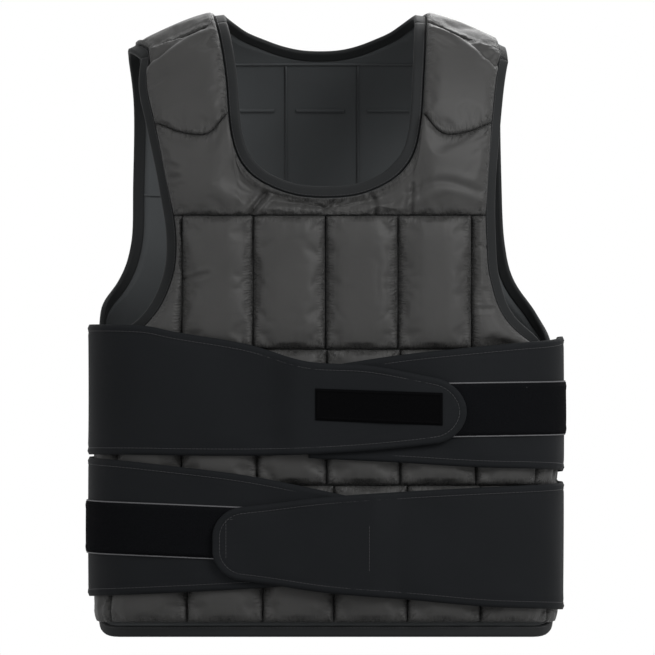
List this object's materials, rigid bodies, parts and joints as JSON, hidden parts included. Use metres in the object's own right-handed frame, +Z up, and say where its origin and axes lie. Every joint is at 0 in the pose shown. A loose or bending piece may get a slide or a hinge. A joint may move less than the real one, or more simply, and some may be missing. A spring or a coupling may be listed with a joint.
{
  "type": "weighted vest",
  "caption": "Pull-over weighted training vest with quilted weight pockets, bound edges and broad hook-and-loop belts closed over the front.",
  "frame": {"origin": "mount shoulder_rest: between the two shoulder straps, level with the underside of their ridge, where the wearer's shoulders carry the vest", "axes": "+Z up the wearer's body, -Y out of the vest's front, +X to the wearer's left, which is the viewer's right"},
  "size_m": [0.4654, 0.2768, 0.6043],
  "materials": {
    "quilt": "dark charcoal coated nylon with a soft satin sheen, quilted over weights",
    "lining": "matt black woven polyester lining",
    "tape": "matt black woven binding tape",
    "belt": "matt black knit-faced foam belt cloth",
    "loop": "black loop pile of a hook-and-loop fastener",
    "patch": "plain black moulded patch with a thin grey border, left bare"
  },
  "bodies": {
    "root": {"front_panel": "lining", "back_panel": "lining", "front_edge_binding": "tape", "back_edge_binding": "tape", "neck_binding": "tape", "front_hem_pocket_1": "quilt", "front_hem_pocket_2": "quilt", "front_hem_pocket_3": "quilt", "front_hem_pocket_4": "quilt", "front_hem_pocket_5": "quilt", "front_hem_pocket_6": "quilt", "front_hem_pocket_7": "quilt", "front_hem_pocket_8": "quilt", "back_hem_pocket_1": "quilt", "back_hem_pocket_2": "quilt", "back_hem_pocket_3": "quilt", "back_hem_pocket_4": "quilt", "back_hem_pocket_5": "quilt", "back_hem_pocket_6": "quilt", "front_belly_pocket_1": "quilt", "front_belly_pocket_2": "quilt", "front_belly_pocket_3": "quilt", "front_belly_pocket_4": "quilt", "front_belly_pocket_5": "quilt", "front_belly_pocket_6": "quilt", "front_belly_pocket_7": "quilt", "front_belly_pocket_8": "quilt", "back_belly_pocket_1": "quilt", "back_belly_pocket_2": "quilt", "back_belly_pocket_3": "quilt", "back_belly_pocket_4": "quilt", "back_belly_pocket_5": "quilt", "back_belly_pocket_6": "quilt", "front_chest_pocket_1": "quilt", "front_chest_pocket_2": "quilt", "front_chest_pocket_3": "quilt", "front_chest_pocket_4": "quilt", "front_chest_pocket_5": "quilt", "front_chest_pocket_6": "quilt", "back_chest_pocket_1": "quilt", "back_chest_pocket_2": "quilt", "back_chest_pocket_3": "quilt", "back_chest_pocket_4": "quilt", "back_chest_pocket_5": "quilt", "back_chest_pocket_6": "quilt", "yoke": "quilt", "back_yoke": "quilt", "front_shoulder_pad_left": "quilt", "front_shoulder_pad_right": "quilt", "back_shoulder_pad_right": "quilt", "back_shoulder_pad_left": "quilt", "upper_under_belt": "belt", "lower_under_belt": "belt", "upper_loop_band": "loop", "lower_loop_band": "loop", "upper_flap": "belt", "lower_flap": "belt", "patch": "patch"}
  },
  "joints": []
}
